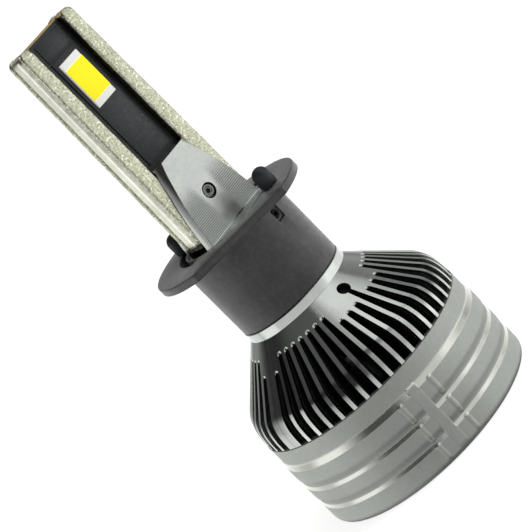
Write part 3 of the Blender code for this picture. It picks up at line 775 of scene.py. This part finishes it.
def nose_cutters():
    """Bodies that leave the nose as a flat tongue between the tray's lips, one after the other."""
    tongue_w, tongue_n, lip_n = TRAY_IN_W - 0.09, BOARD_TOP + 0.05, LIP_TOP + 0.05
    neck_top = FLANGE_FRONT - 0.05
    return [block("left", (-9, -lip_n, neck_top), (-tongue_w, 9, 60)),
            block("right", (tongue_w, -lip_n, neck_top), (9, 9, 60)),
            block("floor", (-tongue_w - 1, -tongue_n, neck_top + 0.1), (tongue_w + 1, 9, 60)),
            block("flat", (-9, -12, FLANGE_FRONT), (9, -FLAT_N, 60)),
            rod("screw_hole", 1.05, (0, -6, SCREW_Z), (0, -1.2, SCREW_Z))]


def heat_sink(material):
    body = revolve("heatsink_front_machined", body_profile(), 144)
    carve(body, [slot_wedge(k) for k in SLOTS])
    carve(body, [slot_cap(k) for k in SLOTS])
    carve(body, [keyhole()])
    carve(body, [slot_mouth(k) for k in SLOTS if k != KEYHOLE_SLOT])
    for cutter in nose_cutters():
        carve(body, [cutter])
    carve(body, [turn_z(block("half", (-20, -SEAM_GAP, 5), (20, 20, 60)), FIN_TURN)])
    soften(body, 0.06, 1, 38)
    rear = half_turn_copy(body, "heatsink_rear_machined")
    stand_for(body, material, "bulb", "heatsink_front")
    stand_for(rear, material, "bulb", "heatsink_rear")


def lip_width(z):
    return LIP_W_TIP + (LIP_W_FOOT - LIP_W_TIP) * (ARM_TIP - z) / (ARM_TIP - PIPE_FOOT)


def end_inset(z, z0, z1, radius):
    """How far a bar's outline draws in where its ends are rounded."""
    d = min(z - z0, z1 - z)
    if d >= radius:
        return 0.0
    return radius - math.sqrt(max(radius ** 2 - (radius - d) ** 2, 0.0))


def bar_heights(z0, z1, radius, step=0.3):
    ends = [radius * (1 - math.cos(math.pi / 2 * k / 5)) for k in range(6)]
    count = int((z1 - z0 - 2 * radius) / step)
    middle = [z0 + radius + (z1 - z0 - 2 * radius) * k / count for k in range(1, count)]
    return [z0 + e for e in ends] + middle + [z1 - e for e in reversed(ends)]


def bar(name, box_at, z0, z1, corner, end_radius, wobble=0.0, seed=0.0):
    """A bar along Z with rounded corners and ends, and a slightly uneven surface."""
    lines = []
    for z in bar_heights(z0, z1, end_radius):
        x0, x1, y0, y1 = box_at(z)
        inset = end_inset(z, z0, z1, end_radius)
        across = min(inset, (x1 - x0) / 2 - 0.03)
        through = min(inset * 0.45, (y1 - y0) / 2 - 0.03)
        x0, x1, y0, y1 = x0 + across, x1 - across, y0 + through, y1 - through
        radius = min(corner, (x1 - x0) / 2.01, (y1 - y0) / 2.01)
        outline = fillet([(x0, y0), (x1, y0), (x1, y1), (x0, y1)], radius, 5, True)
        cx, cy = (x0 + x1) / 2, (y0 + y1) / 2
        line = []
        for x, y in outline:
            push = wobble * noise.noise(Vector((x * 1.3, y * 1.3 + seed, z * 1.1)))
            push += 0.5 * wobble * noise.noise(Vector((x * 3.1 + seed, y * 3.1, z * 2.7)))
            out = Vector((x - cx, y - cy)).normalized()
            line.append((x + push * out.x, y + push * out.y, z))
        lines.append(line)
    return loft(name, lines, 60)


def core_trays(rough_metal, dark_metal):
    lips = []
    for side in (-1, 1):
        def box_at(z, side=side):
            w = sorted((side * TRAY_IN_W, side * lip_width(z)))
            return w[0], w[1], -LIP_TOP, -1.22
        lips.append(bar(f"lip_{side}", box_at, PIPE_FOOT, ARM_TIP, 0.3, 0.85, 0.05, 7.0 * side))
    lips = merge(lips)
    lips.name = "core_tray_front_lips"
    smooth(lips, 60)
    outline = [(-TRAY_WALL_W, -0.03), (-TRAY_WALL_W, -1.5), (-TRAY_IN_W, -1.6), (-TRAY_IN_W, -0.35),
               (TRAY_IN_W, -0.35), (TRAY_IN_W, -1.6), (TRAY_WALL_W, -1.5), (TRAY_WALL_W, -0.03)]
    channel = prism("core_tray_front_channel", outline, PIPE_FOOT, ARM_TIP - 0.12)
    soften(channel, 0.05, 2)
    rear_lips = half_turn_copy(lips, "core_tray_rear_lips")
    rear_channel = half_turn_copy(channel, "core_tray_rear_channel")
    for front, rear, mat in ((lips, rear_lips, rough_metal), (channel, rear_channel, dark_metal)):
        stand_for(front, mat, "bulb", "core_tray_front")
        stand_for(rear, mat, "bulb", "core_tray_rear")


def heat_pipes(material):
    for node, side in (("heat_pipe_left", -1), ("heat_pipe_right", 1)):
        def box_at(z, side=side):
            w = sorted((side * (TRAY_WALL_W + 0.05), side * (lip_width(z) + 0.1)))
            return w[0], w[1], -1.17, 1.17
        pipe = bar(f"{node}_drawn", box_at, PIPE_FOOT, ARM_TIP - 0.05, 0.75, 0.85, 0.025, 3.0 * side)
        stand_for(pipe, material, "bulb", node)


def led_boards(material):
    """Black boards with a raised mask: one panel round the LED and a tab beyond it."""
    board = block("led_board_front_masked", low("led_board_front"), high("led_board_front"))
    face, buried = -BOARD_TOP - 0.24, -BOARD_TOP + 0.1
    pad = block("pad", (-PAD_HALF_W, face, NOSE_TIP + 0.45), (PAD_HALF_W, buried, CHIP_HIGH.z + 0.8))
    tab = block("tab", (-PAD_HALF_W, face + 0.08, CHIP_HIGH.z + 1.0), (PAD_HALF_W, buried, BOARD_TIP - 0.4))
    carve(board, [pad, tab], "UNION")
    soften(board, 0.06, 2)
    rear = half_turn_copy(board, "led_board_rear_masked")
    stand_for(board, material, "bulb", "led_board_front")
    stand_for(rear, material, "bulb", "led_board_rear")


def leds(white, yellow):
    chip = soften(block("led_chip_front_package", CHIP_LOW, CHIP_HIGH), 0.05, 2)
    pad = soften(block("led_phosphor_front_pad", PHOSPHOR_LOW, PHOSPHOR_HIGH), 0.035, 2)
    rear_chip = half_turn_copy(chip, "led_chip_rear_package")
    rear_pad = half_turn_copy(pad, "led_phosphor_rear_pad")
    for obj, mat, node in ((chip, white, "led_chip_front"), (rear_chip, white, "led_chip_rear"),
                           (pad, yellow, "led_phosphor_front"), (rear_pad, yellow, "led_phosphor_rear")):
        stand_for(obj, mat, "bulb", node)


def clamp_screws(material):
    """Socket screws with a dished, chamfered head."""
    radius = high("clamp_screw_front").x
    face, base = -low("clamp_screw_front").y, -high("clamp_screw_front").y
    outline = [(0.0, face - 0.12), (0.45, face - 0.1), (0.55, face), (0.8, face),
               (radius, face - 0.22), (radius, base)]
    outline = fillet(outline, {2: 0.05, 3: 0.08, 4: 0.05}, 3) + [(0.0, base)]
    screw = revolve("clamp_screw_front_head", outline, 40)
    lay_down = Matrix.Rotation(math.pi / 2, 4, "X")
    screw.data.transform(Matrix.Translation((0, 0, SCREW_Z * MM)) @ lay_down)
    carve(screw, [rod("socket", 0.38, (0, -face - 1, SCREW_Z), (0, -face + 0.7, SCREW_Z), 6)])
    smooth(screw, 35)
    rear = half_turn_copy(screw, "clamp_screw_rear_head")
    stand_for(screw, material, "bulb", "clamp_screw_front")
    stand_for(rear, material, "bulb", "clamp_screw_rear")


def collar_pockets():
    """Two curved slots in the flange's face, one to each side of the flat."""
    pockets = []
    for side in (-1, 1):
        arc = [COLLAR_TURN + side * (58 + 70 * i / 20) for i in range(21)]
        outline = [around(a, POCKET_R + POCKET_HALF_W)[:2] for a in arc]
        outline += [around(a, POCKET_R - POCKET_HALF_W)[:2] for a in reversed(arc)]
        pockets.append(prism(f"pocket_{side}", outline, FLANGE_FRONT - 2, FLANGE_FRONT + 1))
    return pockets


def mount_collar(material):
    back = FLANGE_FRONT - FLANGE_T
    points = [(COLLAR_BORE_R, FLANGE_FRONT), (FLANGE_R, FLANGE_FRONT), (FLANGE_R, back), (COLLAR_R, back),
              (COLLAR_R, COLLAR_FOOT), (COLLAR_BORE_R, COLLAR_FOOT)]
    profile = fillet(points, {0: 0.06, 1: 0.14, 2: 0.1, 3: 0.2, 4: 0.16, 5: 0.1}, 4, True)
    collar = revolve("mount_collar_turned", profile, 160, True)
    carve(collar, [turn_z(block("flat", (-15, -15, 36), (15, -FLANGE_FLAT, 39)), COLLAR_TURN)])
    carve(collar, collar_pockets())
    for node in ("collar_stud_left", "collar_stud_right"):
        middle = (low(node) + high(node)) / 2
        ends = [(middle.x, middle.y, FLANGE_FRONT + z) for z in (-3, 1)]
        carve(collar, [rod("peg_hole", PEG_HOLE_R, *ends)])
    hole = [around(SET_SCREW_TURN, r, SET_SCREW_Z) for r in (5, 10)]
    carve(collar, [rod("hole", 0.67, *hole)])
    notch = block("notch", (-0.8, -9, 34.25), (0.8, -COLLAR_R + 0.42, back - 0.12))
    carve(collar, [soften(turn_z(notch, SET_SCREW_TURN), 0.25, 3)])
    soften(collar, 0.05, 2, 40)
    stand_for(collar, material, "collar", "mount_collar")


def stud_ring(middle, z, radius):
    """One ring of a stud's surface, with slight dents."""
    line = []
    for i in range(40):
        a = 2 * math.pi * i / 40
        dent = 1 - 0.05 * max(noise.noise(Vector((2.2 * math.cos(a), 2.2 * math.sin(a), z))), 0)
        line.append((middle.x + radius * dent * math.cos(a), middle.y + radius * dent * math.sin(a),
                     FLANGE_FRONT + z))
    return line


def studs(material):
    """Round-headed rubber bumpers on pegs, slightly uneven as moulded."""
    for node in ("collar_stud_left", "collar_stud_right"):
        middle = (low(node) + high(node)) / 2
        radius = (high(node).x - low(node).x) / 2 - 0.13
        rings = [(-1.0, PEG_R), (0.02, PEG_R), (0.04, 0.8), (0.12, 1.08)]
        rings += [(0.32, radius - 0.06), (0.6, radius)]
        rings += [(STUD_H - radius + radius * math.sin(math.pi / 2 * k / 9),
                   radius * math.cos(math.pi / 2 * k / 9.3)) for k in range(10)]
        lines = [stud_ring(middle, z, r) for z, r in rings]
        stand_for(loft(f"{node}_moulded", lines, 50), material, "collar", node)


def keep_cad(material, *nodes):
    """CAD pieces whose shape is right as it is."""
    for name in nodes:
        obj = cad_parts[name]
        for index in range(len(obj.material_slots)):
            obj.material_slots[index].material = material
        if not obj.material_slots:
            obj.data.materials.append(material)


def dress():
    """Makes every visible piece and gives every piece its material."""
    black_plastic = moulded("black_plastic", (0.016, 0.016, 0.017))
    steel = metal("zinc_steel", (0.42, 0.43, 0.43), 0.3)
    copper = metal("copper_wire", (0.72, 0.32, 0.13), 0.35, 0.15)
    soot = rubber()
    rear_shell(satin_shell())
    heat_sink(turned_aluminium())
    core_trays(plated_rough(), channel_painted_shade())
    heat_pipes(plated_smooth())
    led_boards(solder_mask("black_mask", (0.007, 0.010, 0.012), (0.016, 0.021, 0.024)))
    leds(ceramic_white_painted_glow(), phosphor())
    mount_collar(anodised("dark_anodised", (0.022, 0.025, 0.023), (0.052, 0.057, 0.052)))
    studs(soot)
    clamp_screws(metal("dark_screw", (0.15, 0.155, 0.15), 0.2))
    # Partly painted shade: the set screw's black oxide is made near black to stand for the shade in its
    # notch.
    keep_cad(metal("black_oxide_painted_shade", (0.012, 0.012, 0.013), 0.45), "collar_set_screw")
    keep_cad(soot, "collar_o_ring", "cable_gland")
    keep_cad(black_plastic, "fan_frame", "fan_rotor", "rear_grille")
    keep_cad(steel, "grille_screw_1", "grille_screw_2", "grille_screw_3", "fan_shaft")
    keep_cad(metal("bronze", (0.6, 0.43, 0.22), 0.35), "fan_bearing")
    keep_cad(metal("laminated_steel", (0.4, 0.4, 0.41), 0.4), "fan_stator_core")
    keep_cad(copper, "fan_coil_1", "fan_coil_2", "fan_coil_3", "fan_coil_4")
    keep_cad(moulded("ferrite", (0.05, 0.05, 0.052)), "fan_magnet", "driver_inductor")
    dark_board = solder_mask("dark_board", (0.006, 0.02, 0.012), (0.01, 0.03, 0.018))
    keep_cad(dark_board, "driver_board", "fan_circuit_board")
    # Painted shade: the capacitor, seen through the slots, is near black to stand for the shade inside the
    # body.
    keep_cad(moulded("capacitor_painted_shade", (0.01, 0.012, 0.02)), "driver_capacitor")
    keep_cad(moulded("chip_black", (0.012, 0.012, 0.012)), "driver_chip", "driver_diode")
    keep_cad(moulded("wire_black", (0.03, 0.008, 0.008)), "led_cable_front", "led_cable_rear")


# ---------------------------------------------------------------- studio
VIEW_AZIMUTH = -33.0
VIEW_ELEVATION = 12.84
VIEW_ROLL = 44.81           # degrees that the bulb leans to the left in the picture
VIEW_DISTANCE = 280.0
VIEW_LENS = 150.5
AIM_HEIGHT = 29.75
AIM_SHIFT = (0.327, 0.283)  # how far the camera stands left of and above its aim


def view_axes():
    """The camera's right, up and backward directions."""
    a, e = math.radians(VIEW_AZIMUTH), math.radians(VIEW_ELEVATION)
    back = Vector((math.sin(a) * math.cos(e), -math.cos(a) * math.cos(e), math.sin(e)))
    right = Vector((math.cos(a), math.sin(a), 0))
    up = back.cross(right)
    roll = math.radians(VIEW_ROLL)
    across = math.cos(roll) * right - math.sin(roll) * up
    return across, math.sin(roll) * right + math.cos(roll) * up, back


def camera():
    right, up, back = view_axes()
    data = bpy.data.cameras.new("camera")
    data.lens = VIEW_LENS
    data.sensor_width = 36
    data.clip_start = 0.01
    data.clip_end = 20
    cam = bpy.data.objects.new("camera", data)
    aim = Vector((0, 0, AIM_HEIGHT)) - AIM_SHIFT[0] * right + AIM_SHIFT[1] * up
    rotation = Matrix((right, up, back)).transposed().to_4x4()
    cam.matrix_world = Matrix.Translation((aim + VIEW_DISTANCE * back) * MM) @ rotation
    bpy.context.scene.collection.objects.link(cam)
    bpy.context.scene.camera = cam


def softbox(name, azimuth, elevation, distance, size, power):
    """A rectangular light that faces the bulb; angles as for the camera, distance in metres."""
    a, e = math.radians(azimuth), math.radians(elevation)
    back = Vector((math.sin(a) * math.cos(e), -math.cos(a) * math.cos(e), math.sin(e)))
    data = bpy.data.lights.new(name, "AREA")
    data.shape = "RECTANGLE"
    data.size, data.size_y = size
    data.energy = power
    light = bpy.data.objects.new(name, data)
    light.location = Vector((0, 0, 0.035)) + back * distance
    light.rotation_mode = "QUATERNION"
    light.rotation_quaternion = back.to_track_quat("Z", "Y")
    bpy.context.scene.collection.objects.link(light)


# Soft white panels round the bulb, seen from the camera's side: azimuth, half width in degrees,
# lowest and highest level as the sine of the elevation, and brightness.
ROOM_BASE = 0.05
PANELS = ((0, 180, -0.42, -0.06, 1.25), (-84, 26, 0.0, 0.40, 0.80), (42, 34, 0.0, 0.70, 0.85),
          (84, 30, -1.2, 0.0, 0.40), (180, 65, -0.45, 0.30, 0.30), (85, 45, 0.75, 1.2, 0.75),
          (165, 50, 0.2, 0.8, 0.42), (-90, 40, -1.2, -0.4, 0.5), (0, 180, 0.8, 1.3, 0.13))
PANEL_EDGE = 18.0           # half width of the soft edges, in degrees and as sines
LOW_EDGE, HIGH_EDGE = 0.12, 0.2


def room_light(tree):
    """The brightness of the room around the bulb, as the sum of its panels."""
    def add(kind, operation, a, b=None):
        node = tree.nodes.new(kind)
        node.operation = operation
        for value, socket in ((a, node.inputs[0]), (b, node.inputs[1])):
            if hasattr(value, "is_output"):
                tree.links.new(value, socket)
            elif value is not None:
                socket.default_value = value
        return node

    def ease(value, a, b):
        node = tree.nodes.new("ShaderNodeMapRange")
        node.interpolation_type = "SMOOTHSTEP"
        tree.links.new(value, node.inputs[0])
        node.inputs[1].default_value = a
        node.inputs[2].default_value = b
        return node.outputs[0]

    place = tree.nodes.new("ShaderNodeTexCoord").outputs["Generated"]
    flat = add("ShaderNodeVectorMath", "MULTIPLY", place, (1, 1, 0)).outputs[0]
    flat = add("ShaderNodeVectorMath", "NORMALIZE", flat).outputs[0]
    height = tree.nodes.new("ShaderNodeSeparateXYZ")
    tree.links.new(place, height.inputs[0])
    total = ROOM_BASE
    for azimuth, half, z_low, z_high, level in PANELS:
        rise = ease(height.outputs[2], z_low - LOW_EDGE, z_low + LOW_EDGE)
        part = add("ShaderNodeMath", "MULTIPLY", rise, level)
        fall = ease(height.outputs[2], z_high - HIGH_EDGE, z_high + HIGH_EDGE)
        top = add("ShaderNodeMath", "SUBTRACT", 1.0, fall)
        part = add("ShaderNodeMath", "MULTIPLY", part.outputs[0], top.outputs[0])
        if half < 180:
            a = math.radians(VIEW_AZIMUTH + azimuth)
            facing = add("ShaderNodeVectorMath", "DOT_PRODUCT", flat, (math.sin(a), -math.cos(a), 0))
            inner, outer = max(half - PANEL_EDGE, 0), min(half + PANEL_EDGE, 180)
            ends = [math.cos(math.radians(angle)) for angle in (outer, inner)]
            across = ease(facing.outputs["Value"], *ends)
            part = add("ShaderNodeMath", "MULTIPLY", part.outputs[0], across)
        total = add("ShaderNodeMath", "ADD", part.outputs[0], total).outputs[0]
    return total


def studio():
    softbox("left_light", VIEW_AZIMUTH - 85, 5, 0.45, (0.3, 0.4), 0.2)
    softbox("right_light", VIEW_AZIMUTH + 80, 15, 0.45, (0.4, 0.5), 0.3)
    softbox("top_light", VIEW_AZIMUTH + 90, 65, 0.6, (0.5, 0.5), 0.4)
    world = bpy.data.worlds.new("studio")
    bpy.context.scene.world = world
    world.use_nodes = True
    tree = world.node_tree
    tree.nodes.clear()
    out = tree.nodes.new("ShaderNodeOutputWorld")
    room = tree.nodes.new("ShaderNodeBackground")
    tree.links.new(room_light(tree), room.inputs["Strength"])
    paper = tree.nodes.new("ShaderNodeBackground")
    paper.inputs["Color"].default_value = (1, 1, 1, 1)
    paper.inputs["Strength"].default_value = 1.0
    ray = tree.nodes.new("ShaderNodeLightPath")
    mix = tree.nodes.new("ShaderNodeMixShader")
    tree.links.new(ray.outputs["Is Camera Ray"], mix.inputs[0])
    tree.links.new(room.outputs[0], mix.inputs[1])
    tree.links.new(paper.outputs[0], mix.inputs[2])
    tree.links.new(mix.outputs[0], out.inputs["Surface"])
    bpy.context.scene.view_settings.view_transform = "Standard"


def floor():
    bm = bmesh.new()
    bmesh.ops.create_circle(bm, cap_ends=True, segments=96, radius=1.5)
    plane = new_object("floor", bm)
    plane.location.z = -0.0002
    f = Finish("pale_floor", (0.93, 0.93, 0.92), 0.0, 0.7)
    f.tint(f.span(f.noise(40, 3), 0.4, 0.7, 0, 0.3), (0.9, 0.9, 0.89))
    f.shader.inputs["Emission Color"].default_value = (1, 1, 1, 1)
    f.shader.inputs["Emission Strength"].default_value = 0.75
    plane.data.materials.append(f.done())
    plane.visible_glossy = False
    plane.visible_diffuse = False


dress()
floor()
studio()
camera()
